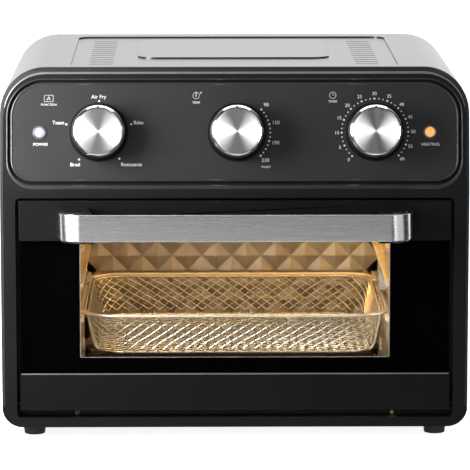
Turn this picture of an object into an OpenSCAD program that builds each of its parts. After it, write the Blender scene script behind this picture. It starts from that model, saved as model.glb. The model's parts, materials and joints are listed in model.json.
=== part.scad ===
// Countertop air fryer oven: steel shell, black fascia with three knobs and two lamps,
// drop-down glass door with a bent metal handle, wire basket, crumb tray and ceiling fan.
// X runs to the right, the door faces -Y and Z is up. The origin is under the middle of the
// space that the oven fills, on the surface that it stands on. All sizes are millimetres.

/* [Body] */
// Overall width across the steel shell
body_w = 390; // [380:1:400]
// Height of the top sheet above the table
body_h = 311; // [309:1:315]
// Depth from the face of the door to the back panel
body_d = 290; // [288:1:300]
// Height of the rubber feet
foot_h = 9.5; // [8:0.5:12]
// Diameter of a rubber foot where it meets the base
foot_d = 19.4; // [16:0.2:22]
// Thickness of the shell sheet
shell_t = 1.0; // [0.8:0.1:1.4]
// Radius of the two upper corners of the shell, seen from the front
top_corner_r = 38; // [34:1:42]
// Radius of the two lower corners of the shell, seen from the front
bottom_corner_r = 17; // [15:1:20]
// Width of the rolled edge of the shell at its sides
hem_w = 2.6; // [2:0.1:3]
// Height of the rolled edge of the shell along its top
hem_top = 5.0; // [4:0.5:6]

/* [Fascia] */
// Angle that the control fascia leans back
fascia_tilt = 10; // [8:0.5:12]
// Height at which the front starts to lean back
fascia_base_z = 210; // [208:1:212]
// Width of the control panel
panel_w = 372; // [368:1:374]
// Lower edge of the control panel, measured up the fascia
panel_low = 7.6; // [7:0.2:9]
// Upper edge of the control panel, measured up the fascia
panel_high = 89.7; // [86:0.2:90]
// Width of the dark groove round the control panel
panel_groove = 2.3; // [1.5:0.1:2.6]

/* [Controls] */
// Distance between neighbouring knobs
knob_pitch = 114.6; // [110:0.2:118]
// How far the middle knob sits to the right of the middle of the panel
knob_shift = 1.7; // [0:0.1:3]
// Height of the knobs, measured up the fascia
knob_up = 48.4; // [46:0.2:50]
// Diameter of the black knob skirt
knob_d = 47; // [44:0.5:50]
// Diameter of the metal cap on a knob
cap_d = 43.4; // [40:0.2:44]
// How far a knob stands out from the panel
knob_reach = 20; // [18:0.5:24]
// Distance of each lamp from the middle of the panel
lamp_x = 162; // [158:1:166]
// Diameter of a lamp lens
lamp_d = 8.4; // [7:0.2:9]

/* [Door] */
// Width of the opening that the door closes
opening_w = 365; // [362:1:368]
// Lower edge of the door opening
opening_low = 17.5; // [17:0.1:18]
// Upper edge of the door opening
opening_high = 203.7; // [203:0.1:205]
// Width of the door
door_w = 359; // [355:1:360]
// Upper edge of the door
door_high = 201.6; // [200:0.2:202]
// Lower edge of the top rail
rail_high = 167.5; // [165:0.5:170]
// Upper edge of the bottom rail
rail_low = 55.5; // [54:0.5:58]
// Thickness of the door without its seal
door_t = 12; // [12:0.5:13]
// Width of the clear window
window_w = 259; // [255:1:262]
// Lower edge of the clear window
window_low = 67.9; // [66:0.5:70]
// Angle that the door swings down
door_swing = 80; // [60:5:80]

/* [Handle] */
// Width of the handle
handle_w = 293; // [286:1:296]
// Height of the metal band
handle_h = 22.5; // [20:0.5:24]
// Middle of the band above the table
handle_z = 183.9; // [182:0.1:185]
// How far the band stands in front of the door
handle_reach = 38; // [34:1:40]
// Outer radius of the bent ends
handle_bend = 19; // [16:1:22]

/* [Cavity] */
// Inner width of the cooking space
cavity_w = 268; // [266:1:270]
// Height of the cavity ceiling
ceiling_z = 206; // [205:1:208]
// Thickness of the cavity sheets
sheet_t = 1.0; // [0.8:0.1:1.2]
// Width across the rim of the basket
basket_w = 262; // [260:1:263]
// Depth of the basket from front to back
basket_d = 208; // [190:1:210]
// Height of the basket rim
basket_rim_z = 100; // [99:0.5:102]
// Height of the basket floor
basket_floor_z = 65; // [60:1:70]

/* [Hidden] */

$fn = 64;
arc_steps = 8;
eps = 0.01;
sides = [-1, 1];

// Depths are measured back from the face of the door, which is at front_y.
gland_reach = 4;
total_d = handle_reach + body_d + gland_reach;
front_y = handle_reach - total_d / 2;
half_w = body_w / 2;

// The plastic front frame sits inside the rolled edge of the shell.
seam = 0.5;
frame_half_w = half_w - hem_w - seam;
frame_high = body_h - hem_top - seam;
frame_t = 15;
frame_step_z = 26;
fascia_t = 28;
panel_t = 4;
panel_ledge = 6;
panel_top_r = 28;
panel_bottom_r = 18;
shell_setback = 2.5;
hem_depth = 3;
roll_r = 5.5;

// Pressed areas in the top sheet, with their depths back from the door face
recess_half_w = 137;
recess_front = 26;
recess_back = 266;
recess_sink = 1.2;
plateau_half_w = 82;
plateau_front = 93;
plateau_back = 240;
vent_x = 112;
vent_l = 20;
vent_w = 3;
vent_front = 50;
vent_pitch = 16.4;
vent_rows = 12;

// Rows of slots in the sides and the back, each with its lowest edge and pitch
side_vent_front = 196;
side_vent_back = 246;
side_vent_z = 226;
side_vent_pitch = 9;
back_vent_half = 10;
back_vent_x = 26;
back_vent_h = 4;
upper_vent_z = 232;
upper_vent_pitch = 11;
lower_vent_z = 20;
lower_vent_pitch = 9;

// Bottom, back and feet
flange_w = 21;
back_flange_w = 14;
pan_half_w = 173.5;
pan_rib_x = 130;
screw_hole_r = 1.8;
back_t = 1.2;
back_d = body_d - back_t;
shell_end = back_d - 0.2;
foot_x = 169;
foot_front = 23.6;
foot_back = body_d - 30;
gland_x = -150;
gland_z = 45;
gland_hole_r = 7;
cord_hole_r = 3.6;

// Cavity planes, as depths back from the door face
mouth_half_w = cavity_w / 2;
mouth_high = 194;
cavity_front = frame_t + sheet_t;
cavity_end = 262;
floor_z = opening_low - 0.7;
runner_reach = 7;
runner_t = 3;
runner_tops = [basket_rim_z - 2, basket_rim_z + 28, basket_rim_z + 58];

// Fan, heating elements, lamp and spit drive
fan_d = 140;
fan_r = 66;
fan_hole_r = 75;
element_r = 3.25;
bush_r = 6;
element_end = 152;
upper_z = 188;
lower_z = 40;
element_rows = [75, 205];
spit_d = 140;
spit_z = 113;
lamp_back = 235;
lamp_z = 174;

// Hinge and door
hinge_d = door_t / 2;
hinge_z = opening_low + 5.7 + hinge_d;
door_edge_r = 1.6;
pin_r = 2.5;
pin_in = 171;
pin_out = 189;
pin_play = 0.4;
hinge_tab_x = 172.9;
hinge_tab_half = 6.6;
glass_front = 1.8;
glass_t = 4;
liner_front = glass_front + glass_t + 0.2;
liner_half_w = 165;
liner_low = 31;
liner_high = 199;
arm_x = 157.5;
arm_t = 2;
arm_r = 63;
arm_half = 3;
seal_t = 2.6;
band_t = 2;
mount_in = 117.5;
mount_h = 25.4;
mount_slant = 6;
mount_gap = 0.2;
handle_screw_x = mount_in + 13;
handle_screw_r = 2;

// Points of an arc about [cx, cy] from angle a0 to angle a1
function arc(cx, cy, r, a0, a1) = [for (i = [0:arc_steps])
    let (a = a0 + (a1 - a0) * i / arc_steps) [cx + r * cos(a), cy + r * sin(a)]];

// Outline of a rectangle with one radius for its upper and one for its lower corners
function rounded(x0, y0, x1, y1, top_r, low_r) = concat(
    arc(x1 - top_r, y1 - top_r, top_r, 0, 90),
    arc(x0 + top_r, y1 - top_r, top_r, 90, 180),
    arc(x0 + low_r, y0 + low_r, low_r, 180, 270),
    arc(x1 - low_r, y0 + low_r, low_r, 270, 360));

// A point of a side outline at depth d behind the door face and height z
function at(d, z) = [front_y + d, z];

// Depth of the leaning front face at height z
function lean(z) = max(0, z - fascia_base_z) * tan(fascia_tilt);

// A flat outline in X and Z, from depth d to d + t behind the door face
module facing(d, t) {
    translate([0, front_y + d + t, 0]) rotate([90, 0, 0]) linear_extrude(t) children();
}

// A side outline in Y and Z, extruded along X from x to x + w
module across(x, w) {
    translate([x, 0, 0]) rotate([90, 0, 90]) linear_extrude(w) children();
}

// A box from [x0, x1], depths [d0, d1] and heights [z0, z1]
module block(x0, x1, d0, d1, z0, z1) {
    translate([x0, front_y + d0, z0]) cube([x1 - x0, d1 - d0, z1 - z0]);
}

// Places children on the leaning fascia, with Y into the body and Z up the slope
module on_fascia() {
    translate([0, front_y, fascia_base_z]) rotate([-fascia_tilt, 0, 0]) children();
}

// A flat outline on the fascia, from depth d to d + t into the body
module plate(d, t) {
    translate([0, d + t, 0]) rotate([90, 0, 0]) linear_extrude(t) children();
}

// A round piece square to the fascia, from depth d0 to d1
module spindle(x, up, d0, d1, r) {
    translate([x, d1, up]) rotate([90, 0, 0]) cylinder(h = d1 - d0, r = r);
}

// A revolved piece square to the fascia; its outline is [radius, distance out]
module turned(x, up, outline) {
    translate([x, 0, up]) rotate([90, 0, 0]) rotate_extrude($fn = 96) polygon(outline);
}

// A round bar along X
module bar_x(x0, x1, d, z, r) {
    translate([x0, front_y + d, z]) rotate([0, 90, 0]) cylinder(h = x1 - x0, r = r);
}

// A bore for a hinge pin, centred on x
module pin_bore(x, half, r) bar_x(x - half, x + half, hinge_d, hinge_z, r);

// A round bar along Y, between depths d0 and d1
module bar_y(x, z, d0, d1, r) {
    translate([x, front_y + d1, z]) rotate([90, 0, 0]) cylinder(h = d1 - d0, r = r);
}

// A round bar along Z
module bar_z(x, d, z0, z1, r) {
    translate([x, front_y + d, z0]) cylinder(h = z1 - z0, r = r);
}

// ---- Case ----

module shell_outline(inset, top_inset, low) {
    polygon(rounded(-half_w + inset, low, half_w - inset, body_h - top_inset,
        top_corner_r - inset, bottom_corner_r - inset));
}

module panel_outline(grow) {
    polygon(rounded(-panel_w / 2 - grow, panel_low - grow, panel_w / 2 + grow,
        panel_high + grow, panel_top_r + grow, panel_bottom_r + grow));
}

// The frame inside the rolled edge of the shell, and its full-width lower end
module frame_outline() {
    polygon(rounded(-frame_half_w, foot_h, frame_half_w, frame_high,
        top_corner_r - hem_w - seam, bottom_corner_r));
    intersection() {
        shell_outline(0, 0, foot_h);
        translate([-half_w, 0]) square([body_w, frame_step_z]);
    }
}

module front_frame() color("#242427") difference() {
    intersection() {
        across(-half_w, body_w) polygon([at(0, foot_h), at(0, fascia_base_z),
            at(lean(frame_high), frame_high), at(fascia_t, frame_high),
            at(fascia_t, fascia_base_z + 14), at(frame_t, fascia_base_z + 6),
            at(frame_t, foot_h)]);
        facing(-1, fascia_t + 2) frame_outline();
    }
    facing(-1, frame_t + 2) polygon(rounded(-opening_w / 2, opening_low, opening_w / 2,
        opening_high, 4, 4));
    on_fascia() {
        plate(-1, panel_t + 1) panel_outline(panel_groove);
        plate(0, 2 * fascia_t) panel_outline(-panel_ledge);
    }
    for (s = sides) pin_bore(s * (opening_w / 2 + pin_out) / 2, 5, pin_r + 0.05);
}

module control_panel() color("#3a3a3c") on_fascia() difference() {
    plate(0, panel_t) panel_outline(0);
    for (x = knob_xs) spindle(x, knob_up, -1, panel_t + 1, 5.2);
    for (s = sides) spindle(s * lamp_x, knob_up, -1, panel_t + 1, lamp_d / 2 + 0.2);
}

// The shell in front view: sides, rounded corners and two flanges under the body
module shell_profile(inner) difference() {
    shell_outline(0, 0, foot_h);
    shell_outline(inner, inner, foot_h + inner);
    translate([-half_w + flange_w, foot_h - 1]) square([2 * (half_w - flange_w), 9]);
}

// The shell in side view, with the roll of its front edge at the top
module shell_side(front, back) {
    roll_d = front + lean(body_h - roll_r) + roll_r / cos(fascia_tilt);
    polygon(concat([at(back, 0), at(front, 0), at(front, fascia_base_z)],
        arc(front_y + roll_d, body_h - roll_r, roll_r, 180 - fascia_tilt, 90),
        [at(roll_d, body_h + 5), at(back, body_h + 5)]));
}

module outer_shell() color("#1c1c1e") {
    difference() {
        union() {
            intersection() {
                facing(0, shell_end) shell_profile(shell_t);
                across(-half_w - 1, body_w + 2) shell_side(shell_setback, body_d);
            }
            // rolled edge along the sides and the top
            intersection() {
                facing(0, 30) difference() {
                    shell_outline(0, 0, foot_h);
                    shell_outline(hem_w, hem_top, foot_h - 4);
                }
                across(-half_w - 1, body_w + 2) difference() {
                    shell_side(shell_setback, body_d);
                    shell_side(shell_setback + hem_depth, body_d + 1);
                }
            }
            // flange that the back panel is screwed to
            facing(shell_end - 1.2, 1.2) difference() {
                shell_outline(0.2, 0.2, foot_h + 0.2);
                shell_outline(back_flange_w, back_flange_w, foot_h + back_flange_w);
            }
            // sheet under the pressed recess
            block(-recess_half_w - 2, recess_half_w + 2, recess_front - 2,
                recess_back + 2, body_h - recess_sink - shell_t, body_h - shell_t);
        }
        // room for the full-width lower end of the front frame
        block(-half_w - 1, half_w + 1, -1, frame_t + 0.2, 0, frame_step_z + seam);
        difference() {
            pressed(recess_half_w, recess_front, recess_back, 12, body_h - recess_sink, 5);
            pressed(plateau_half_w, plateau_front, plateau_back, 16, 0, body_h + 9);
        }
        for (s = sides, row = [0:vent_rows - 1])
            block(s * vent_x - vent_l / 2, s * vent_x + vent_l / 2,
                vent_front + row * vent_pitch, vent_front + row * vent_pitch + vent_w,
                body_h - 9, body_h + 1);
        for (row = [0:6]) block(-half_w - 1, half_w + 1, side_vent_front, side_vent_back,
            side_vent_z + row * side_vent_pitch, side_vent_z + row * side_vent_pitch
            + vent_w);
        screw_holes();
    }
}

// A rounded rectangle in plan, from height z upwards
module pressed(half, front, back, r, z, h) {
    translate([0, 0, z]) linear_extrude(h)
        polygon(rounded(-half, front_y + front, half, front_y + back, r, r));
}

// Screws through the back panel, as [x, z]
back_screws = [[-188, 70], [188, 70], [-188, 200], [188, 200], [-90, body_h - 7],
    [90, body_h - 7]];

module screw_holes() {
    for (p = back_screws) bar_y(p[0], p[1], body_d - 8, body_d + 4, screw_hole_r);
}

// Rows of slots through the back panel: the columns -cols to cols, from height z up
module back_vents(cols, rows, z, pitch) {
    for (col = [-cols:cols], row = [0:rows - 1])
        block(col * back_vent_x - back_vent_half, col * back_vent_x + back_vent_half,
            back_d - 1, body_d + 1, z + row * pitch, z + row * pitch + back_vent_h);
}

module back_panel() color("#2a2a2c") difference() {
    facing(back_d, back_t) shell_outline(0.4, 0.4, foot_h + 0.4);
    back_vents(3, 5, upper_vent_z, upper_vent_pitch);
    back_vents(2, 3, lower_vent_z, lower_vent_pitch);
    bar_y(gland_x, gland_z, back_d - 1, body_d + 1, gland_hole_r);
    screw_holes();
}

module base_pan() color("#555558") difference() {
    union() {
        block(-pan_half_w, pan_half_w, cavity_front, back_d - 2, foot_h, foot_h + 1.2);
        for (s = sides) block(s * pan_rib_x - 0.6, s * pan_rib_x + 0.6, cavity_front,
            back_d - 2, foot_h, floor_z - sheet_t);
    }
    for (s = sides, d = [foot_front, foot_back])
        bar_z(s * foot_x, d, foot_h - 1, foot_h + 9, screw_hole_r);
}

module rubber_feet() color("#101010") for (s = sides, d = [foot_front, foot_back])
    translate([s * foot_x, front_y + d, 0]) difference() {
        cylinder(h = foot_h, r1 = foot_d / 2 - 0.9, r2 = foot_d / 2);
        translate([0, 0, -1]) cylinder(h = 5.5, r = 4.4);
        cylinder(h = foot_h + 1, r = screw_hole_r);
    }

module case_screws() color("#6a6a6c") {
    for (s = sides, d = [foot_front, foot_back]) {
        bar_z(s * foot_x, d, 2.2, 4.5, 3.9);
        bar_z(s * foot_x, d, 4.4, foot_h + 4, 1.75);
    }
    for (p = back_screws) {
        bar_y(p[0], p[1], body_d - 6, body_d + 0.1, 1.75);
        bar_y(p[0], p[1], body_d, body_d + 2, 3.6);
    }
}

module cord_gland() color("#141414") difference() {
    union() {
        bar_y(gland_x, gland_z, body_d, body_d + gland_reach, 9.5);
        bar_y(gland_x, gland_z, back_d - 3, body_d + 1, gland_hole_r - 0.05);
    }
    bar_y(gland_x, gland_z, back_d - 5, body_d + gland_reach + 1, cord_hole_r);
}

module terminal_block() color("#d8d2c4") difference() {
    block(-163, -135, back_d - 62, back_d - 26, foot_h + 1.2, foot_h + 17);
    for (i = [0:2]) bar_z(-149, back_d - 56 + i * 12, foot_h + 6, foot_h + 18, 2.5);
}

// ---- Cooking cavity ----

module cavity_front_flange() color("#1b1b1b") difference() {
    facing(frame_t, sheet_t) polygon(rounded(-187, foot_h + 2, 187, fascia_base_z + 4,
        3, 8));
    block(-mouth_half_w, mouth_half_w, 0, 30, opening_low, mouth_high);
    for (s = sides) block(s * (arm_x + arm_t / 2) - 2.2, s * (arm_x + arm_t / 2) + 2.2,
        0, 30, hinge_z + arm_r - 11, hinge_z + arm_r + 6);
}

// One side wall with its three rack runners; s is -1 on the left and 1 on the right
module cavity_wall(s) difference() {
    union() {
        block(min(s * mouth_half_w, s * (mouth_half_w + sheet_t)),
            max(s * mouth_half_w, s * (mouth_half_w + sheet_t)), cavity_front,
            cavity_end, floor_z, ceiling_z);
        for (z = runner_tops) block(min(s * (mouth_half_w - runner_reach),
            s * (mouth_half_w + eps)), max(s * (mouth_half_w - runner_reach),
            s * (mouth_half_w + eps)), cavity_front + 6, cavity_end - 8,
            z - runner_t, z);
    }
    for (d = element_rows, z = [lower_z, upper_z])
        bar_x(s * mouth_half_w - 5, s * mouth_half_w + 5, d, z, bush_r);
    bar_x(s * mouth_half_w - 5, s * mouth_half_w + 5, spit_d, spit_z, 7.5);
}

module cavity_wall_left() color("#b9a77c") cavity_wall(-1);

module cavity_wall_right() color("#b9a77c") difference() {
    cavity_wall(1);
    bar_x(mouth_half_w - 5, mouth_half_w + 5, lamp_back, lamp_z, 13);
}

module cavity_back() color("#b9a77c") block(-mouth_half_w - sheet_t,
    mouth_half_w + sheet_t, cavity_end, cavity_end + sheet_t, floor_z, ceiling_z);

module cavity_ceiling() color("#9a9a9a") difference() {
    block(-mouth_half_w - sheet_t, mouth_half_w + sheet_t, cavity_front,
        cavity_end + sheet_t, ceiling_z, ceiling_z + sheet_t);
    bar_z(0, fan_d, ceiling_z - 1, ceiling_z + 3, fan_hole_r);
}

module cavity_floor() color("#8a8a8a") block(-mouth_half_w - sheet_t,
    mouth_half_w + sheet_t, cavity_front, cavity_end + sheet_t, floor_z - sheet_t,
    floor_z);

// A pair of straight rod elements across the cavity
module rods(z) for (d = element_rows) bar_x(-element_end, element_end, d, z, element_r);

module upper_elements() color("#6e6660") rods(upper_z);

module lower_elements() color("#6e6660") rods(lower_z);

module element_bushes() color("#e6e0d2")
    for (s = sides, d = element_rows, z = [lower_z, upper_z]) difference() {
        union() {
            bar_x(s * (mouth_half_w + 3) - 5, s * (mouth_half_w + 3) + 5, d, z,
                bush_r - 0.05);
            bar_x(s * (mouth_half_w + 4.5) - 3, s * (mouth_half_w + 4.5) + 3, d, z,
                bush_r + 2.5);
        }
        bar_x(s * (mouth_half_w + 3) - 7, s * (mouth_half_w + 3) + 7, d, z,
            element_r + 0.1);
    }

// ---- Fan in the ceiling ----

module fan_guard() color("#9c9c9c") difference() {
    bar_z(0, fan_d, ceiling_z - sheet_t, ceiling_z, fan_hole_r + 6);
    for (ring = [0:3], i = [0:7 + ring * 6]) translate([0, front_y + fan_d, 0])
        rotate([0, 0, i * 360 / (8 + ring * 6)]) translate([16 + ring * 14.5, 0,
        ceiling_z - 3]) cylinder(h = 6, r = 4.2, $fn = 24);
}

module fan_housing() color("#8f8f8f") translate([0, front_y + fan_d, 0])
    rotate_extrude($fn = 96) polygon([[fan_hole_r + 7, ceiling_z + sheet_t],
        [fan_hole_r + 7, ceiling_z + 2 * sheet_t], [fan_hole_r + 1, ceiling_z
        + 2 * sheet_t], [fan_hole_r - 1, ceiling_z + 34], [7, ceiling_z + 34],
        [7, ceiling_z + 33], [fan_hole_r - 2, ceiling_z + 33], [fan_hole_r,
        ceiling_z + sheet_t]]);

module fan_motor() color("#4c4c50") difference() {
    union() {
        bar_z(0, fan_d, ceiling_z + 42, ceiling_z + 62, 22);
        block(-32, 32, fan_d - 24, fan_d + 24, ceiling_z + 46, ceiling_z + 58);
        for (s = sides) block(s * 27 - 4, s * 27 + 4, fan_d - 6, fan_d + 6,
            ceiling_z + 34, ceiling_z + 47);
    }
    bar_z(0, fan_d, ceiling_z + 30, ceiling_z + 70, 4);
}

// Impeller: a back disc with straight blades under it
module fan_blade() color("#b4b4b6") difference() {
    union() {
        bar_z(0, fan_d, ceiling_z + 4, ceiling_z + 26, 8);
        bar_z(0, fan_d, ceiling_z + 24.8, ceiling_z + 26, fan_r);
        for (i = [0:9]) translate([0, front_y + fan_d, 0]) rotate([0, 0, i * 36])
            translate([22, -0.6, ceiling_z + 6]) cube([fan_r - 24, 1.2, 19]);
    }
    bar_z(0, fan_d, ceiling_z + 3, ceiling_z + 27, 3.05);
}

module fan_shaft() color("#c8c8ca") bar_z(0, fan_d, ceiling_z + 3, ceiling_z + 84, 3);

module cooling_fan() color("#d0d0d2") difference() {
    union() {
        bar_z(0, fan_d, ceiling_z + 70, ceiling_z + 80, 7);
        for (i = [0:5]) translate([0, front_y + fan_d, ceiling_z + 75])
            rotate([0, 0, i * 60]) rotate([28, 0, 0]) translate([5, -6, -0.5])
            cube([30, 12, 1]);
    }
    bar_z(0, fan_d, ceiling_z + 60, ceiling_z + 90, 3.05);
}

// ---- Cavity lamp and spit drive, on the side walls ----

module lamp_housing() color("#7d7d80") difference() {
    bar_x(mouth_half_w + sheet_t, mouth_half_w + 34, lamp_back, lamp_z, 16);
    bar_x(mouth_half_w, mouth_half_w + 32, lamp_back, lamp_z, 14.6);
}

module oven_lamp() color("#fff2c8") {
    bar_x(mouth_half_w + 8, mouth_half_w + 24, lamp_back, lamp_z, 6);
    bar_x(mouth_half_w + 23.9, mouth_half_w + 32, lamp_back, lamp_z, 9);
}

module lamp_cover() color("#f4efe0") difference() {
    union() {
        bar_x(mouth_half_w - 4, mouth_half_w, lamp_back, lamp_z, 15);
        bar_x(mouth_half_w - 1, mouth_half_w + 3, lamp_back, lamp_z, 12.9);
    }
    bar_x(mouth_half_w - 2, mouth_half_w + 4, lamp_back, lamp_z, 11);
}

module rotisserie_motor() color("#3d3d40") difference() {
    union() {
        block(-176, -150, spit_d - 24, spit_d + 24, spit_z - 24, spit_z + 24);
        for (s = sides) block(-151, -mouth_half_w - sheet_t, spit_d + s * 20 - 3,
            spit_d + s * 20 + 3, spit_z - 8, spit_z + 8);
    }
    bar_x(-166, -140, spit_d, spit_z, 4);
}

module rotisserie_socket() color("#c9c9cb") difference() {
    union() {
        bar_x(-164, -mouth_half_w + 1, spit_d, spit_z, 3.6);
        bar_x(-mouth_half_w - 6, -mouth_half_w + 7, spit_d, spit_z, 7);
    }
    translate([-mouth_half_w - 3, front_y + spit_d, spit_z]) rotate([0, 90, 0])
        translate([-3.6, -3.6, 0]) cube([7.2, 7.2, 12]);
}

module rotisserie_bearing() color("#b0b0b2") difference() {
    block(mouth_half_w - 7, mouth_half_w, spit_d - 11, spit_d + 11, spit_z - 10,
        spit_z + 10);
    bar_x(mouth_half_w - 8, mouth_half_w + 1, spit_d, spit_z, 5.5);
    block(mouth_half_w - 8, mouth_half_w + 1, spit_d - 5.5, spit_d + 5.5, spit_z,
        spit_z + 11);
}

// ---- Controls ----

bushing_r = 5;
shaft_r = 3;
knob_xs = [for (i = [-1:1]) i * knob_pitch + knob_shift];

// Threaded neck and shaft hole that every control has
module control_neck(x) difference() {
    children();
    spindle(x, knob_up, -4, panel_t + 14, shaft_r + 0.3);
}

module function_switch() color("#c9c2b0") on_fascia() control_neck(knob_xs[0]) union() {
    plate(panel_t, 26) polygon(rounded(knob_xs[0] - 20, knob_up - 18,
        knob_xs[0] + 20, knob_up + 18, 4, 4));
    spindle(knob_xs[0], knob_up, -2.2, panel_t + 1, bushing_r);
}

module thermostat() color("#8c8f94") on_fascia() control_neck(knob_xs[1]) union() {
    spindle(knob_xs[1], knob_up, panel_t, panel_t + 18, 20);
    plate(panel_t + 17, 8) polygon(rounded(knob_xs[1] - 13, knob_up - 24,
        knob_xs[1] + 13, knob_up + 24, 3, 3));
    spindle(knob_xs[1], knob_up, -2.2, panel_t + 1, bushing_r);
}

module timer() color("#a8a297") on_fascia() control_neck(knob_xs[2]) union() {
    plate(panel_t, 20) polygon(rounded(knob_xs[2] - 25, knob_up - 25,
        knob_xs[2] + 25, knob_up + 25, 5, 5));
    spindle(knob_xs[2], knob_up, panel_t + 19, panel_t + 32, 21);
    spindle(knob_xs[2], knob_up, -2.2, panel_t + 1, bushing_r);
}

module switch_nuts() color("#d2c79a") on_fascia() for (x = knob_xs) difference() {
    translate([x, 0, knob_up]) rotate([90, 0, 0]) cylinder(h = 2, r = 8, $fn = 6);
    spindle(x, knob_up, -3, 1, bushing_r + 0.05);
}

// Black knob body: a low skirt, a drum inside the cap and a hub for the shaft
module knob(x) color("#0e0e0f") on_fascia() turned(x, knob_up, [[shaft_r + 0.02, 4],
    [9, 4], [9, 1.2], [knob_d / 2, 1.2], [knob_d / 2, 4.4], [knob_d / 2 - 1.2, 6.4],
    [cap_d / 2 - 1.2, 7.4], [cap_d / 2 - 1.2, knob_reach - 2],
    [shaft_r + 0.02, knob_reach - 2]]);

// Metal cap over a knob, with a pointer notch in the top of its edge
module cap(x) color("#d9d9da") on_fascia() difference() {
    turned(x, knob_up, [[0, knob_reach - 1.9], [cap_d / 2 - 1.1, knob_reach - 1.9],
        [cap_d / 2 - 1.1, 8], [cap_d / 2, 8], [cap_d / 2, knob_reach - 1.6],
        [cap_d / 2 - 1.5, knob_reach], [0, knob_reach]]);
    translate([x - 0.8, -knob_reach - 1, knob_up + cap_d / 2 - 3.2]) cube([1.6, 2, 5]);
}

module shaft(x) color("#bfbfc1") on_fascia()
    spindle(x, knob_up, -knob_reach + 2.2, panel_t + 12, shaft_r);

module function_knob() knob(knob_xs[0]);

module temperature_knob() knob(knob_xs[1]);

module timer_knob() knob(knob_xs[2]);

module function_cap() cap(knob_xs[0]);

module temperature_cap() cap(knob_xs[1]);

module timer_cap() cap(knob_xs[2]);

module function_shaft() shaft(knob_xs[0]);

module temperature_shaft() shaft(knob_xs[1]);

module timer_shaft() shaft(knob_xs[2]);

// Lamp lens with a low domed head, and its holder behind the panel
module lamp(x) on_fascia() turned(x, knob_up, [[0, -12], [lamp_d / 2 - 0.4, -12],
    [lamp_d / 2 - 0.1, -11.6], [lamp_d / 2 - 0.1, 1.4], [lamp_d / 2 - 0.9, 2.2],
    [lamp_d / 4, 2.7], [0, 2.9]]);

module power_lamp() color("#e8e6ff") lamp(-lamp_x);

module heating_lamp() color("#ffb14a") lamp(lamp_x);

module lamp_rings() color("#4a4a50") on_fascia() for (s = sides)
    turned(s * lamp_x, knob_up, [[lamp_d / 2 + 0.1, 0], [lamp_d / 2 + 1.6, 0],
        [lamp_d / 2 + 1.2, 1.1], [lamp_d / 2 + 0.1, 1.1]]);

// ---- Door, about its hinge near the lower edge ----

module hinge_pins() color("#9a9a9c") for (s = sides)
    bar_x(min(s * pin_in, s * pin_out), max(s * pin_in, s * pin_out), hinge_d,
        hinge_z, pin_r);

module door_top_rail() color("#333335") difference() {
    across(-door_w / 2, door_w) polygon([at(0, rail_high), at(0, door_high),
        at(door_t, door_high), at(door_t, liner_high + 0.3), at(liner_front - 0.2,
        liner_high + 0.3), at(liner_front - 0.2, rail_high + 9), at(glass_front - 0.1,
        rail_high + 9), at(glass_front - 0.1, rail_high)]);
    for (s = sides) bar_y(s * handle_screw_x, handle_z, -1, door_t, handle_screw_r + 0.1);
}

module door_bottom_rail() color("#2b2b2d") difference() {
    union() {
        across(-door_w / 2, door_w) polygon(concat([at(glass_front - 0.1, rail_low),
            at(0, rail_low)], arc(front_y + door_edge_r, hinge_z - hinge_d + door_edge_r,
            door_edge_r, 180, 270), arc(front_y + hinge_d, hinge_z, hinge_d, 270, 360),
            [at(door_t, liner_low - 0.3), at(liner_front - 0.2, liner_low - 0.3),
            at(liner_front - 0.2, rail_low - 9), at(glass_front - 0.1, rail_low - 9)]));
        for (s = sides) block(s * hinge_tab_x - hinge_tab_half, s * hinge_tab_x
            + hinge_tab_half, glass_front - 0.2, door_t, hinge_z, rail_low - 9.2);
    }
    for (s = sides) pin_bore(s * (door_w / 2 + pin_in) / 2, 5.5, pin_r + pin_play);
}

module door_glass() color("#15151a") block(-door_w / 2 + 0.3, door_w / 2 - 0.3,
    glass_front, glass_front + glass_t, rail_low - 8.7, rail_high + 8.7);

// Steel pan behind the glass, with the window cut through it
module door_inner_frame() color("#77777a") difference() {
    block(-liner_half_w, liner_half_w, liner_front, door_t, liner_low, liner_high);
    difference() {
        block(-liner_half_w + 1, liner_half_w - 1, liner_front - 1, door_t - 1,
            liner_low + 1, liner_high - 1);
        block(-window_w / 2 - 2, window_w / 2 + 2, 0, 30, window_low - 2,
            rail_high + 1);
    }
    block(-window_w / 2 - 1, window_w / 2 + 1, 0, 30, window_low - 1, rail_high);
}

module door_seal() color("#3c3a38") facing(door_t, seal_t) difference() {
    polygon(rounded(-145, liner_low + 1.5, 145, liner_high - 0.5, 10, 6));
    polygon(rounded(-140, liner_low + 6, 140, liner_high - 4, 6, 3));
}

// Curved arms that run through the front flange, concentric with the hinge
module door_arms() color("#8a8a8c") for (s = sides) {
    x = s > 0 ? arm_x : -arm_x - arm_t;
    intersection() {
        difference() {
            bar_x(x, x + arm_t, hinge_d, hinge_z, arm_r + arm_half);
            bar_x(x - 1, x + arm_t + 1, hinge_d, hinge_z, arm_r - arm_half);
        }
        block(x - 1, x + arm_t + 1, door_t, 90, hinge_z - 1, hinge_z + 90);
    }
    block(min(x, x + s * 6), max(x + arm_t, x + s * 6), door_t, door_t + 1.4,
        hinge_z + arm_r - 12, hinge_z + arm_r + 4);
}

// Half of the band outline seen from above, at distance t inside its outer face
function band_half(t) = concat(arc(handle_w / 2 - handle_bend,
    front_y - handle_reach + handle_bend, handle_bend - t, -90, 0),
    [[handle_w / 2 - t, front_y - 1.5]]);

function reversed(points) = [for (i = [len(points) - 1:-1:0]) points[i]];

function flipped(points) = [for (p = points) [-p[0], p[1]]];

module handle_bar() color("#c4c4c6") translate([0, 0, handle_z - handle_h / 2])
    linear_extrude(handle_h) polygon(concat(band_half(0), reversed(band_half(band_t)),
        flipped(band_half(band_t)), reversed(flipped(band_half(0)))));

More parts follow.
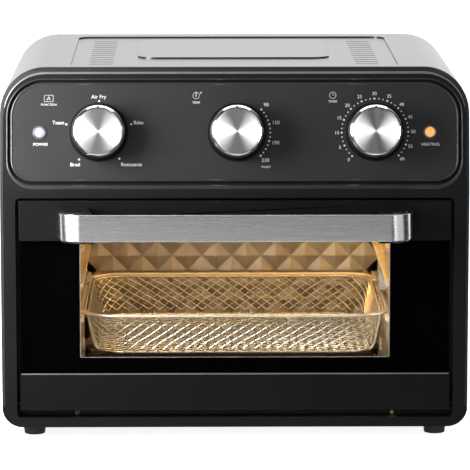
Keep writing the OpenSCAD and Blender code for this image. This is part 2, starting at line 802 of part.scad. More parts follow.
// The mount outline seen from above, on the right-hand side
mount_points = concat(
    [[mount_in + mount_slant, front_y],
        [mount_in, front_y - handle_reach + band_t + mount_gap]],
    arc(handle_w / 2 - handle_bend, front_y - handle_reach + handle_bend,
        handle_bend - band_t - mount_gap, -90, 0),
    [[handle_w / 2 - band_t - mount_gap, front_y]]);

module handle_mounts() color("#121213") for (s = sides) difference() {
    translate([0, 0, handle_z - mount_h / 2]) linear_extrude(mount_h)
        polygon(s > 0 ? mount_points : flipped(mount_points));
    bar_y(s * handle_screw_x, handle_z, -16, 1, handle_screw_r + 0.1);
}

module handle_screws() color("#7a7a7c") for (s = sides) {
    bar_y(s * handle_screw_x, handle_z, -14, liner_front - 0.1, handle_screw_r);
    bar_y(s * handle_screw_x, handle_z, liner_front - 0.2, liner_front + 2.2,
        2 * handle_screw_r);
}

// ---- Basket and tray ----

basket_front = 24;
basket_back = basket_front + basket_d;
mesh_half_w = 124.5;
mesh_taper = 6.5;
mesh_t = 1.6;
tray_half_w = 131;
tray_front = 13;
tray_z = floor_z + 1;

// One level of the basket outline, inset from its rim
module basket_level(inset, z) translate([0, 0, z]) linear_extrude(0.1)
    polygon(rounded(-mesh_half_w + inset, front_y + basket_front + 4 + inset,
        mesh_half_w - inset, front_y + basket_back - 4 - inset, 26, 26));

module basket_mesh() color("#cfcfcb") difference() {
    hull() {
        basket_level(0, basket_rim_z - 0.6);
        basket_level(mesh_taper, basket_floor_z);
    }
    hull() {
        basket_level(mesh_t - 0.6, basket_rim_z + 3);
        basket_level(mesh_taper + mesh_t - 0.3, basket_floor_z + mesh_t);
    }
}

// Round-cornered rim that hangs on the runners
module basket_rim() color("#dcdcd8") translate([0, 0, basket_rim_z - 2])
    linear_extrude(3) difference() {
        polygon(rounded(-basket_w / 2, front_y + basket_front, basket_w / 2,
            front_y + basket_back, 30, 30));
        polygon(rounded(-mesh_half_w - 0.1, front_y + basket_front + 3.9,
            mesh_half_w + 0.1, front_y + basket_back - 3.9, 26, 26));
    }

module crumb_tray() color("#8d8d8f") difference() {
    block(-tray_half_w, tray_half_w, tray_front, cavity_end - 4, tray_z, tray_z + 3.6);
    block(-tray_half_w + 1, tray_half_w - 1, tray_front + 4, cavity_end - 5, tray_z + 0.9,
        tray_z + 5);
}

// Black grip along the front edge of the tray, which passes under the closed door
module tray_pull() color("#131313") block(-tray_half_w, tray_half_w, tray_front - 1.5,
    tray_front, tray_z, tray_z + 4.2);

front_frame();
control_panel();
outer_shell();
back_panel();
base_pan();
rubber_feet();
case_screws();
cavity_front_flange();
cavity_wall_left();
cavity_wall_right();
cavity_back();
cavity_ceiling();
cavity_floor();
upper_elements();
lower_elements();
element_bushes();
fan_guard();
fan_housing();
fan_motor();
lamp_housing();
oven_lamp();
lamp_cover();
function_switch();
thermostat();
timer();
switch_nuts();
power_lamp();
heating_lamp();
lamp_rings();
rotisserie_motor();
rotisserie_bearing();
terminal_block();
cord_gland();
hinge_pins();
door_top_rail();
door_bottom_rail();
door_glass();
door_inner_frame();
door_seal();
door_arms();
handle_bar();
handle_mounts();
handle_screws();
basket_mesh();
basket_rim();
crumb_tray();
tray_pull();
function_knob();
temperature_knob();
timer_knob();
function_cap();
temperature_cap();
timer_cap();
function_shaft();
temperature_shaft();
timer_shaft();
fan_blade();
fan_shaft();
cooling_fan();
rotisserie_socket();
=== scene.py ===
"""Looks of a countertop air fryer oven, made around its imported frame.

Blender works in metres. Sizes below are millimetres where a name ends in _mm or a value goes
through mm(), and everything else comes from the frame's nodes and joints.
"""

import json
import math

import bmesh
import bpy
from mathutils import Matrix, Vector


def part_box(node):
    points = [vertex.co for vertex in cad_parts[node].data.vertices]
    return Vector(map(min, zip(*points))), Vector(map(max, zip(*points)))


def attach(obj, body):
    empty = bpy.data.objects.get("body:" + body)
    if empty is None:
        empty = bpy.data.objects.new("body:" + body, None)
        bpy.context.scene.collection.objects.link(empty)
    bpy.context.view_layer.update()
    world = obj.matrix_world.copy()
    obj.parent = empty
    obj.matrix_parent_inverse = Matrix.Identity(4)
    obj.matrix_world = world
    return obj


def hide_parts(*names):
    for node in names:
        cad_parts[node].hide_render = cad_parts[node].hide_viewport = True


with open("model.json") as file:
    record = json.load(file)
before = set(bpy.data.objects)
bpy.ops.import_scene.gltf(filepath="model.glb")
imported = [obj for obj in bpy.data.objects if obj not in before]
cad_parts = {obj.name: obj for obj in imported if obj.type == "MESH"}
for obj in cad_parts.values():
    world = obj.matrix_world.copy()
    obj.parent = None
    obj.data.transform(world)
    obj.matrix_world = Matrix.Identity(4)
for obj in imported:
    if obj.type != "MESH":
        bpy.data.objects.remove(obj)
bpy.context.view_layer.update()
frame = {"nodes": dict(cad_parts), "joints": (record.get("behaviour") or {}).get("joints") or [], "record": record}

NODES = frame["nodes"]
X_AXIS = Vector((1, 0, 0))
WARM = (1.0, 0.60, 0.22)


def mm(*values):
    """Millimetres in metres: one number, or a vector of three."""
    metres = [v / 1000 for v in values]
    return metres[0] if len(metres) == 1 else Vector(metres)


def joint_place(name):
    """The origin and the unit axis of a joint."""
    joint = next(j for j in frame["joints"] if j["name"] == name)
    return Vector(joint["pos_m"]), Vector(joint["axis"])


def new_object(name, data):
    """An object with its data, in the scene."""
    holder = bpy.data.objects.new(name, data)
    bpy.context.scene.collection.objects.link(holder)
    return holder


# ---- Shader helpers ----

def add(tree, kind, settings=None, values=None):
    """Adds a shader node. Values are numbers, colours or sockets, by input name or index."""
    node = tree.nodes.new("ShaderNode" + kind)
    for key, value in (settings or {}).items():
        setattr(node, key, value)
    for key, value in (values or {}).items():
        if isinstance(value, bpy.types.NodeSocket):
            tree.links.new(value, node.inputs[key])
        else:
            node.inputs[key].default_value = value
    return node


def math_node(tree, operation, *values):
    """A Math node's result."""
    return add(tree, "Math", {"operation": operation}, dict(enumerate(values))).outputs[0]


def new_material(name):
    """An empty node material with its tree and its output node."""
    material = bpy.data.materials.new(name)
    material.use_nodes = True
    tree = material.node_tree
    tree.nodes.clear()
    return material, tree, tree.nodes.new("ShaderNodeOutputMaterial")


def noise(tree, size_mm, stretch=(1, 1, 1), detail=2.0, source=None):
    """Noise whose features are about size_mm wide, longer along the stretched axes."""
    place = source or add(tree, "TexCoord").outputs["Object"]
    scale = [1000 / size_mm / s for s in stretch]
    mapped = add(tree, "Mapping", None, {"Vector": place, "Scale": scale}).outputs[0]
    texture = add(tree, "TexNoise", None, {"Vector": mapped, "Scale": 1.0, "Detail": detail})
    return texture.outputs[0]


def ranged(tree, value, low, high):
    """Stretches the useful middle of a noise value over low to high."""
    node = add(tree, "MapRange", None, {"Value": value, "From Min": 0.3, "From Max": 0.7,
                                        "To Min": low, "To Max": high})
    return node.outputs[0]


def two_tone(tree, value, dark, light):
    """Mixes two colours by a noise value."""
    mix = add(tree, "Mix", {"data_type": "RGBA"})
    tree.links.new(ranged(tree, value, 0.0, 1.0), mix.inputs[0])
    mix.inputs[6].default_value = (*dark, 1)
    mix.inputs[7].default_value = (*light, 1)
    return mix.outputs[2]


def shade(colour, factor):
    """A colour made lighter or darker."""
    return tuple(min(1.0, c * factor) for c in colour)


def surface(name, colour, rough, metal=0.0, grain=0.5, bump=0.01, spread=0.05, mottle=0.08,
            mottle_mm=45, stretch=(1, 1, 1), tangent=False, **sockets):
    """A solid finish: mottled colour, uneven roughness and a fine grain from noise.

    grain is the size of the fine relief and bump its height, both in millimetres.
    """
    material, tree, out = new_material(name)
    patches = noise(tree, mottle_mm, stretch)
    values = {
        "Base Color": two_tone(tree, patches, shade(colour, 1 - mottle),
                               shade(colour, 1 + mottle)),
        "Metallic": metal,
        "Roughness": ranged(tree, noise(tree, grain * 8, stretch, 3.0), rough - spread,
                            rough + spread),
    }
    relief = noise(tree, grain, stretch, 3.0)
    values["Normal"] = add(tree, "Bump", None, {"Height": relief, "Distance": mm(bump),
                                                "Strength": 1.0}).outputs[0]
    if tangent:
        values["Tangent"] = add(tree, "Tangent", {"direction_type": "RADIAL",
                                                  "axis": "Z"}).outputs[0]
    values.update({key.replace("_", " "): value for key, value in sockets.items()})
    shader = add(tree, "BsdfPrincipled", None, values)
    tree.links.new(shader.outputs[0], out.inputs[0])
    return material


def clear(name, colour, ior, rough):
    """Clear glass that lets the lamps' light through, with faint smears."""
    material, tree, out = new_material(name)
    smear = noise(tree, 25, detail=4.0)
    glass = add(tree, "BsdfPrincipled", None, {
        "Base Color": (*colour, 1), "IOR": ior, "Transmission Weight": 1.0,
        "Roughness": ranged(tree, smear, rough * 0.5, rough * 1.5)})
    shadow = add(tree, "BsdfTransparent", None, {"Color": (*colour, 1)})
    ray = add(tree, "LightPath").outputs["Is Shadow Ray"]
    mix = add(tree, "MixShader", None, {0: ray, 1: glass.outputs[0], 2: shadow.outputs[0]})
    tree.links.new(mix.outputs[0], out.inputs[0])
    return material


def glowing(name, colour, glow, strength):
    """A lit lens: coloured plastic that also gives off light."""
    material, tree, out = new_material(name)
    cloud = noise(tree, 1.5, detail=2.0)
    shader = add(tree, "BsdfPrincipled", None, {
        "Base Color": two_tone(tree, cloud, shade(colour, 0.8), colour),
        "Roughness": ranged(tree, cloud, 0.2, 0.3),
        "Emission Color": (*glow, 1), "Emission Strength": strength, "Coat Weight": 0.5})
    tree.links.new(shader.outputs[0], out.inputs[0])
    return material


def spun_metal(name):
    """Metal turned on a lathe: grooves run round the axis, on a UV map of angle and radius."""
    material, tree, out = new_material(name)
    uv = add(tree, "UVMap", {"uv_map": "turned"}).outputs[0]
    grooves = noise(tree, 1.0, (60, 0.00035, 1), 3.0, uv)
    bands = noise(tree, 1.0, (30, 0.0025, 1), 2.0, uv)
    shader = add(tree, "BsdfPrincipled", None, {
        "Base Color": two_tone(tree, bands, (0.82, 0.82, 0.83), (0.92, 0.92, 0.93)),
        "Metallic": 1.0,
        "Roughness": ranged(tree, grooves, 0.27, 0.32),
        "Anisotropic": 0.9, "Anisotropic Rotation": 0.25,
        "Tangent": add(tree, "Tangent", {"direction_type": "UV_MAP",
                                         "uv_map": "turned"}).outputs[0],
        "Normal": add(tree, "Bump", None, {"Height": grooves, "Distance": mm(0.002),
                                           "Strength": 0.5}).outputs[0]})
    tree.links.new(shader.outputs[0], out.inputs[0])
    return material


# ---- Materials, one for each finish slot of the record ----

def make_materials():
    """The finish of every slot, by the slot's name."""
    satin = {"Specular_IOR_Level": 0.11}
    return {
        "frame_plastic": surface("frame_plastic", (0.005, 0.005, 0.0054), 0.3, grain=0.35,
                                 bump=0.001, spread=0.005, **satin),
        "panel_plastic": surface("panel_plastic", (0.016, 0.016, 0.0164), 0.34, grain=0.25,
                                 bump=0.001, spread=0.006, mottle=0.04,
                                 Specular_IOR_Level=0.08),
        "shell_paint": surface("shell_paint", (0.016, 0.016, 0.017), 0.26, grain=1.4,
                               bump=0.0006, spread=0.004, mottle=0.05),
        "dark_sheet": surface("dark_sheet", (0.05, 0.05, 0.052), 0.4, grain=1.1, bump=0.01),
        "foot_rubber": surface("foot_rubber", (0.016, 0.016, 0.016), 0.75, grain=0.5,
                               bump=0.03, mottle=0.2),
        "screw_steel": surface("screw_steel", (0.5, 0.5, 0.52), 0.3, 1.0, grain=0.2,
                               bump=0.004),
        "black_enamel": surface("black_enamel", (0.004, 0.004, 0.004), 0.4, grain=1.2,
                                bump=0.006, Specular_IOR_Level=0.15),
        "cavity_steel": surface("cavity_steel", (0.78, 0.68, 0.52), 0.46, 0.8, grain=1.6,
                                bump=0.02, spread=0.08, mottle=0.08, mottle_mm=18),
        "element_steel": surface("element_steel", (0.2, 0.17, 0.15), 0.5, 0.9, grain=0.4,
                                 bump=0.03, mottle=0.35, mottle_mm=12),
        "ceramic": surface("ceramic", (0.82, 0.79, 0.72), 0.6, grain=0.3, bump=0.02),
        "motor_steel": surface("motor_steel", (0.36, 0.36, 0.38), 0.4, 1.0, grain=0.5,
                               bump=0.01),
        "bulb_glass": glowing("bulb_glass", (1.0, 0.9, 0.7), WARM, 6.0),
        "switch_plastic": surface("switch_plastic", (0.6, 0.56, 0.46), 0.5, grain=0.3,
                                  bump=0.01),
        "nut_brass": surface("nut_brass", (0.8, 0.62, 0.32), 0.3, 1.0, grain=0.3, bump=0.005),
        "power_lens": glowing("power_lens", (0.16, 0.16, 0.24), (0.74, 0.74, 1.0), 0.5),
        "heating_lens": glowing("heating_lens", (0.3, 0.14, 0.04), (1.0, 0.46, 0.12), 0.8),
        "ring_plastic": surface("ring_plastic", (0.05, 0.05, 0.06), 0.2, grain=0.3,
                                bump=0.003),
        "rail_paint": surface("rail_paint", (0.0035, 0.0035, 0.0038), 0.3, grain=0.7,
                              bump=0.001, spread=0.005, **satin),
        "door_glass": clear("door_glass", (0.96, 0.97, 0.96), 1.12, 0.01),
        "liner_steel": surface("liner_steel", (0.42, 0.42, 0.42), 0.35, 1.0, grain=0.3,
                               bump=0.005, stretch=(40, 40, 1)),
        "seal_silicone": surface("seal_silicone", (0.05, 0.045, 0.04), 0.6, grain=0.4,
                                 bump=0.02),
        "handle_steel": surface("handle_steel", (0.68, 0.68, 0.69), 0.27, 1.0, grain=0.12,
                                bump=0.0004, spread=0.012, mottle=0.03, mottle_mm=3,
                                stretch=(60, 60, 1), tangent=True, Anisotropic=0.8,
                                Anisotropic_Rotation=0.25),
        "gloss_black": surface("gloss_black", (0.006, 0.006, 0.0065), 0.2, grain=1.0,
                               bump=0.001, spread=0.01),
        "basket_wire": surface("basket_wire", (0.66, 0.62, 0.54), 0.34, 0.85, grain=0.4,
                               bump=0.004, mottle=0.06, mottle_mm=6),
        "tray_enamel": surface("tray_enamel", (0.045, 0.04, 0.036), 0.45, grain=0.9,
                               bump=0.006, mottle=0.2, mottle_mm=20),
        "knob_plastic": surface("knob_plastic", (0.003, 0.003, 0.0035), 0.35, grain=0.3,
                                bump=0.002, Specular_IOR_Level=0.12),
        "cap_metal": spun_metal("cap_metal"),
        "fan_aluminium": surface("fan_aluminium", (0.68, 0.68, 0.69), 0.35, 1.0, grain=0.4,
                                 bump=0.008),
    }


MATERIALS = make_materials()
# The white print also glows faintly: its emission is a painted glow that brightens the letters beyond what the
# lamps give them.
GLOWING_PRINT = surface("glowing_panel_print", (0.36, 0.36, 0.36), 0.5, grain=0.2, bump=0.002, mottle=0.03,
                Emission_Color=(1, 1, 1, 1), Emission_Strength=0.06)
BORDER = surface("black_print", (0.0003, 0.0003, 0.0003), 0.5, grain=0.3, bump=0.001,
                 Specular_IOR_Level=0.0)
POLISHED = surface("polished_metal", (0.78, 0.78, 0.79), 0.12, 1.0, grain=0.6, bump=0.001,
                   spread=0.03, mottle=0.03, mottle_mm=4)
# Beads along the black shell's hem and the black rail's top edge: their curve catches real light, and their light
# grey, part-metal colour adds a painted highlight that the black paint itself doesn't have.
HIGHLIGHT_BEAD = surface("bead_with_painted_highlight", (0.17, 0.17, 0.175), 0.3, 0.7, grain=0.5, bump=0.001,
               spread=0.02)
EDGE = surface("satin_edge", (0.014, 0.014, 0.015), 0.24, grain=0.5, bump=0.001, spread=0.02,
               Specular_IOR_Level=0.4)


# ---- Finishing of the CAD nodes ----

def smooth_by_angle(angle):
    """A geometry-nodes group that smooths every edge flatter than the angle."""
    group = bpy.data.node_groups.new("smooth_by_angle", "GeometryNodeTree")
    for way in ("INPUT", "OUTPUT"):
        group.interface.new_socket("Geometry", in_out=way, socket_type="NodeSocketGeometry")
    start = group.nodes.new("NodeGroupInput")
    end = group.nodes.new("NodeGroupOutput")
    faces = group.nodes.new("GeometryNodeSetShadeSmooth")
    edges = group.nodes.new("GeometryNodeSetShadeSmooth")
    edges.domain = "EDGE"
    bend = group.nodes.new("GeometryNodeInputMeshEdgeAngle")
    flat = group.nodes.new("FunctionNodeCompare")
    flat.operation = "LESS_THAN"
    flat.inputs["B"].default_value = angle
    group.links.new(bend.outputs["Unsigned Angle"], flat.inputs["A"])
    group.links.new(start.outputs[0], faces.inputs["Geometry"])
    group.links.new(faces.outputs[0], edges.inputs["Geometry"])
    group.links.new(flat.outputs[0], edges.inputs["Shade Smooth"])
    group.links.new(edges.outputs[0], end.inputs[0])
    return group


SMOOTH = smooth_by_angle(math.radians(34))

# Edge radius of each CAD node in millimetres, where it isn't EDGE_MM
EDGE_MM = 0.3
EDGES_MM = {
    "control_panel": 1.8, "front_frame": 0.6, "door_top_rail": 0.9,
    "door_bottom_rail": 0.9, "handle_bar": 0.8, "handle_mounts": 0.8, "rubber_feet": 0.6,
    "function_knob": 0.5, "temperature_knob": 0.5, "timer_knob": 0.5, "door_glass": 0.25,
    "fan_guard": 0.2, "cavity_ceiling": 0.2, "cavity_floor": 0.2, "fan_blade": 0.2,
    "cooling_fan": 0.2, "oven_lamp": 0.8, "thermostat": 0.6, "timer": 0.8,
    "function_switch": 0.8, "rotisserie_motor": 1.0, "fan_motor": 0.8, "cord_gland": 0.5,
    "terminal_block": 0.5,
}


def shade_smooth(piece):
    """Smooth shading with sharp creases kept."""
    smooth = piece.modifiers.new("smooth", "NODES")
    smooth.node_group = SMOOTH
    weighted = piece.modifiers.new("weighted", "WEIGHTED_NORMAL")
    weighted.keep_sharp = True


def soften(piece, edge_mm):
    """Rounds the sharp edges of a piece and shades it smoothly, by modifiers alone."""
    weld = piece.modifiers.new("weld", "WELD")
    weld.merge_threshold = mm(0.005)
    bevel = piece.modifiers.new("edges", "BEVEL")
    bevel.width = mm(edge_mm)
    bevel.segments = 3
    bevel.limit_method = "ANGLE"
    bevel.angle_limit = math.radians(38)
    bevel.miter_outer = "MITER_ARC"
    shade_smooth(piece)


def finish_cad_nodes():
    """Gives every CAD node its finish and soft edges."""
    slots = {part["node"]: part["material_slot"] for part in frame["record"]["subparts"]}
    for name, piece in NODES.items():
        piece.material_slots[0].material = MATERIALS[slots[name]]
        soften(piece, EDGES_MM.get(name, EDGE_MM))


# ---- Mesh helpers ----

def make_piece(name, bm, material, body):
    """Turns a bmesh into a piece that rides on a body."""
    bmesh.ops.recalc_face_normals(bm, faces=bm.faces)
    mesh = bpy.data.meshes.new(name)
    bm.to_mesh(mesh)
    bm.free()
    mesh.materials.append(material)
    piece = new_object(name, mesh)
    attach(piece, body)
    return piece


def turn(bm, outline, place, steps=128):
    """Revolves a closed (radius, height) outline about local Z, with a UV map of its rings.

    U is the share of the turn and V the length along the outline, in metres.
    """
    uv = bm.loops.layers.uv.get("turned") or bm.loops.layers.uv.new("turned")
    lengths = [0.0]
    for a, b in zip(outline, outline[1:] + outline[:1]):
        lengths.append(lengths[-1] + math.dist(a, b))
    turns = [2 * math.pi * i / steps for i in range(steps)]
    rings = []
    for radius, height in outline:
        if radius == 0:
            rings.append([bm.verts.new(place @ Vector((0, 0, height)))] * steps)
            continue
        rings.append([bm.verts.new(place @ Vector((radius * math.cos(a),
                                                   radius * math.sin(a), height)))
                      for a in turns])
    for k, ring in enumerate(rings):
        after = rings[(k + 1) % len(rings)]
        for i in range(steps):
            j = (i + 1) % steps
            corners = [(ring[i], i, k), (ring[j], i + 1, k), (after[j], i + 1, k + 1),
                       (after[i], i, k + 1)]
            kept = []
            for corner in corners:
                if all(corner[0] is not other[0] for other in kept):
                    kept.append(corner)
            if len(kept) < 3:
                continue
            face = bm.faces.new([corner[0] for corner in kept])
            for loop, corner in zip(face.loops, kept):
                loop[uv].uv = (corner[1] / steps, lengths[corner[2]])


def arc_points(cx, cy, radius, start, end, steps):
    """Points on an arc, with its angles in degrees."""
    turns = [math.radians(start + (end - start) * i / steps) for i in range(steps + 1)]
    return [(cx + radius * math.cos(a), cy + radius * math.sin(a)) for a in turns]


def rounded_box(x0, y0, x1, y1, radius, steps=6):
    """Outline of a rectangle with round corners."""
    corners = [(x1 - radius, y1 - radius, 0), (x0 + radius, y1 - radius, 90),
               (x0 + radius, y0 + radius, 180), (x1 - radius, y0 + radius, 270)]
    points = []
    for cx, cy, start in corners:
        points += arc_points(cx, cy, radius, start, start + 90, steps)
    return points


def prism(bm, outline, low, high, place):
    """A flat solid between two heights above a plane."""
    under = [bm.verts.new(place @ Vector((x, y, low))) for x, y in outline]
    over = [bm.verts.new(place @ Vector((x, y, high))) for x, y in outline]
    bm.faces.new(under[::-1])
    bm.faces.new(over)
    for i, vertex in enumerate(under):
        j = (i + 1) % len(under)
        bm.faces.new([vertex, under[j], over[j], over[i]])


def ring_prism(bm, outer, inner, low, high, place):
    """A flat frame between an outer and an inner outline of as many points."""
    loops = [[bm.verts.new(place @ Vector((x, y, z))) for x, y in outline]
             for outline, z in ((outer, low), (outer, high), (inner, high), (inner, low))]
    for k, loop in enumerate(loops):
        after = loops[(k + 1) % 4]
        for i, vertex in enumerate(loop):
            j = (i + 1) % len(loop)
            bm.faces.new([vertex, loop[j], after[j], after[i]])


def sweep(bm, sections, closed=False):
    """Joins a row of cross-sections, each a list of points, into one solid."""
    rings = [[bm.verts.new(point) for point in section] for section in sections]
    pairs = list(zip(rings, rings[1:]))
    if closed:
        pairs.append((rings[-1], rings[0]))
    for ring, after in pairs:
        for k, vertex in enumerate(ring):
            m = (k + 1) % len(ring)
            bm.faces.new([vertex, ring[m], after[m], after[k]])
    if not closed:
        bm.faces.new(rings[0][::-1])
        bm.faces.new(rings[-1])


def wire(bm, points, radius, sides=6, closed=False):
    """A round wire through a list of points."""
    count = len(points)
    turns = [2 * math.pi * k / sides for k in range(sides)]
    sections = []
    for i, point in enumerate(points):
        before = points[i - 1] if closed or i > 0 else point
        after = points[(i + 1) % count] if closed or i < count - 1 else point
        along = (after - before).normalized()
        side = along.cross(Vector((0, 0, 1)))
        if side.length < 0.2:
            side = along.cross(X_AXIS)
        side.normalize()
        up = side.cross(along)
        sections.append([point + side * math.cos(a) * radius + up * math.sin(a) * radius
                         for a in turns])
    sweep(bm, sections, closed)


# ---- The fascia ----

DIALS = {"function": "function_turn", "temperature": "temperature_turn", "timer": "timer_turn"}


def fascia_place(joint):
    """The matrix of a dial: X across, Y up the fascia and Z out of it."""
    centre, inward = joint_place(joint)
    out = -inward
    up = out.cross(X_AXIS)
    turn_matrix = Matrix((X_AXIS, up, out)).transposed().to_4x4()
    return Matrix.Translation(centre) @ turn_matrix


# Knob caps in millimetres: how far the lip stands off the fascia, and the radii of the cap and
# of its spun face
CAP_REACH = 20.0
CAP_R = 21.7
FACE_R = 18.9


def cap_face_outline():
    """Half section of the dished, spun face of a knob's cap."""
    points = [(0, -0.55), (6, -0.53), (12, -0.47), (17, -0.36), (FACE_R - 0.3, -0.3),
              (FACE_R, -0.45), (FACE_R, -1.9), (0, -1.9)]
    return [(mm(r), mm(CAP_REACH + h)) for r, h in points]


def cap_edge_outline():
    """Half section of the polished ring round the face: groove, lip, chamfer and skirt."""
    back = CAP_REACH - 1.85
    foot = 8.0
    points = [(FACE_R + 0.05, -1.85), (FACE_R + 0.05, -1.1), (FACE_R + 0.45, -1.1),
              (FACE_R + 0.55, -0.2), (FACE_R + 0.8, 0), (FACE_R + 1.0, -0.04),
              (CAP_R - 0.45, -1.25), (CAP_R - 0.08, -1.75), (CAP_R, -2.2)]
    outline = [(mm(r), mm(CAP_REACH + h)) for r, h in points]
    return outline + [(mm(r), mm(h)) for r, h in
                      ((CAP_R, foot + 0.2), (CAP_R - 0.15, foot), (CAP_R - 0.9, foot),
                       (CAP_R - 1, foot + 0.2), (CAP_R - 1, back))]


def make_caps():
    """A spun face and a polished ring with a pointer notch on each knob."""
    for dial, joint in DIALS.items():
        place = fascia_place(joint)
        bm = bmesh.new()
        turn(bm, cap_face_outline(), place)
        face = make_piece(dial + "_cap_face", bm, MATERIALS["cap_metal"], dial + "_dial")
        shade_smooth(face)
        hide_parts(dial + "_cap")
        bm = bmesh.new()
        turn(bm, cap_edge_outline(), place)
        ring = make_piece(dial + "_cap_edge", bm, POLISHED, dial + "_dial")
        cutter = bmesh.new()
        notch = [(mm(x), mm(y)) for x, y in ((-0.8, 18), (0.8, 18), (0.8, 23), (-0.8, 23))]
        prism(cutter, notch, mm(CAP_REACH - 1.1), mm(CAP_REACH + 1), place)
        cut_out(ring, cutter)
        shade_smooth(ring)


def cut_out(piece, cutter):
    """Cuts a bmesh out of a piece and keeps the result as its mesh."""
    bmesh.ops.recalc_face_normals(cutter, faces=cutter.faces)
    mesh = bpy.data.meshes.new("cutter")
    cutter.to_mesh(mesh)
    cutter.free()
    tool = new_object("cutter", mesh)
    cut = piece.modifiers.new("cut", "BOOLEAN")
    cut.operation = "DIFFERENCE"
    cut.solver = "EXACT"
    cut.object = tool
    shape = bpy.data.meshes.new_from_object(
        piece.evaluated_get(bpy.context.evaluated_depsgraph_get()))
    piece.modifiers.clear()
    piece.data = shape
    bpy.data.objects.remove(tool)


def make_dial_rings():
    """A low black plate under each knob, with a thin bright rim; where the plate shows past a knob's skirt, its
    black is painted shade round the knob's foot.
    """
    plate = [(mm(r), mm(h)) for r, h in
             ((12, -0.05), (12, 0.3), (24.1, 0.3), (24.2, 0.25), (24.2, -0.05))]
    rim = [(mm(r), mm(h)) for r, h in
           ((24.2, -0.05), (24.2, 0.35), (24.35, 0.45), (24.6, 0.45), (24.75, 0.3),
            (24.75, -0.05))]
    for dial, joint in DIALS.items():
        # The plate's near-black colour paints the shade that falls round each knob's foot.
        for name, outline, material in (("plate", plate, MATERIALS["knob_plastic"]),
                                        ("rim", rim, EDGE)):
            bm = bmesh.new()
            turn(bm, outline, fascia_place(joint))
            shade_smooth(make_piece(dial + "_dial_" + name, bm, material, "case"))


# The print's heights over the fascia
PRINT_LOW = mm(-0.01)
PRINT_HIGH = mm(0.04)


class Prints:
    """Collects the printed marks of the panel in one mesh."""

    def __init__(self):
        self.bm = bmesh.new()
        self.place = Matrix.Identity(4)

    def move_to(self, joint):
        self.place = fascia_place(joint)

    def words(self, text, x, up, height, weight=0.0):
        """Centred lettering of a given capital height in millimetres.

        A weight above 0 makes the strokes fatter, and one below 0 makes them thinner.
        """
        curve = bpy.data.curves.new("words", "FONT")
        curve.body = text
        curve.align_x = "CENTER"
        curve.align_y = "CENTER"
        curve.resolution_u = 3
        curve.extrude = 0.5
        curve.offset = weight
        holder = new_object("words", curve)
        mesh = bpy.data.meshes.new_from_object(
            holder.evaluated_get(bpy.context.evaluated_depsgraph_get()))
        capital = 0.7
        size = mm(height) / capital
        thick = PRINT_HIGH - PRINT_LOW
        centre = Matrix.Translation((mm(x), mm(up), (PRINT_LOW + PRINT_HIGH) / 2))
        mesh.transform(self.place @ centre @ Matrix.Diagonal((size, size, thick, 1)))
        self.bm.from_mesh(mesh)
        bpy.data.objects.remove(holder)
        bpy.data.curves.remove(curve)
        bpy.data.meshes.remove(mesh)

    def dot(self, x, up, diameter):
        outline = arc_points(mm(x), mm(up), mm(diameter / 2), 0, 345, 23)
        prism(self.bm, outline, PRINT_LOW, PRINT_HIGH, self.place)

    def circle(self, x, up, radius, line):
        outer, inner = (arc_points(mm(x), mm(up), mm(r), 0, 354, 59)
                        for r in (radius, radius - line))
        ring_prism(self.bm, outer, inner, PRINT_LOW, PRINT_HIGH, self.place)

    def box(self, x, up, half_w, half_h, corner, line):
        """A rectangle with round corners, drawn as a line."""
        outer, inner = (rounded_box(mm(x - half_w + d), mm(up - half_h + d),
                                    mm(x + half_w - d), mm(up + half_h - d), mm(corner - d))
                        for d in (0, line))
        ring_prism(self.bm, outer, inner, PRINT_LOW, PRINT_HIGH, self.place)

    def stroke(self, x0, up0, x1, up1, line):
        """A straight bar between two points."""
        a, b = Vector((mm(x0), mm(up0))), Vector((mm(x1), mm(up1)))
        side = (b - a).orthogonal().normalized() * mm(line / 2)
        prism(self.bm, [a + side, a - side, b - side, b + side], PRINT_LOW, PRINT_HIGH,
              self.place)


# Radius of the circle of dots round a dial and height of its labels, in millimetres
DOT_R = 27.7
LABEL_H = 3.0


def on_circle(radius, angle):
    """The point on a circle round a dial, at an angle in degrees from the right."""
    turned = math.radians(angle)
    return radius * math.cos(turned), radius * math.sin(turned)


def print_dots(prints, angles, every=1, big=1.6, small=1.6):
    """Dots round a dial, the first and then every so many of them big."""
    for i, angle in enumerate(angles):
        prints.dot(*on_circle(DOT_R, angle), small if i % every else big)


def print_round(prints, labels, angles, radius, height):
    """Labels centred on a circle round a dial."""
    for text, angle in zip(labels, angles):
        prints.words(text, *on_circle(radius, angle), height)


def print_function(prints):
    """Marks round the left dial, and the words and sign in the panel's corner."""
    prints.move_to("function_turn")
    print_dots(prints, [166, 234, 308, 14])
    prints.dot(0.3, 26.0, 1.5)
    for text, x, up in (("Air Fry", 0.0, 29.4), ("Toast", -33.6, 8.0), ("Bake", 33.0, 8.0),
                        ("Broil", -19.6, -26.8), ("Rotisserie", 27.0, -26.8)):
        prints.words(text, x, up, LABEL_H)
    sign_x, sign_up = -41.4, 28.2
    prints.box(sign_x, sign_up, 3.8, 2.8, 0.8, 0.2)
    for side in (-1, 1):
        prints.stroke(sign_x, sign_up + 1.6, sign_x + side * 1.5, sign_up - 1.6, 0.24)
    prints.stroke(sign_x - 0.9, sign_up - 0.5, sign_x + 0.9, sign_up - 0.5, 0.24)
    prints.words("FUNCTION", sign_x, 23.0, 1.8, -0.008)
    prints.words("POWER", -48.3, -10.0, 2.5)


def print_temperature(prints):
    """Marks round the middle dial, with a small gauge for a sign."""
    prints.move_to("temperature_turn")
    angles = [43 - i * 7.33 for i in range(13)]
    print_dots(prints, angles, 4, 1.7, 1.3)
    print_round(prints, ("90", "150", "190", "230"), angles[::4], 33.2, LABEL_H)
    prints.words("TOAST", 24.0, -29.0, 1.8)
    sign_x, sign_up = -33.8, 30.4
    prints.circle(sign_x, sign_up, 2.8, 0.26)
    prints.stroke(sign_x, sign_up - 1, sign_x, sign_up + 3.2, 0.5)
    prints.circle(sign_x + 4.0, sign_up + 2.4, 0.8, 0.25)
    prints.words("TEMP", sign_x, 24.5, 1.9)


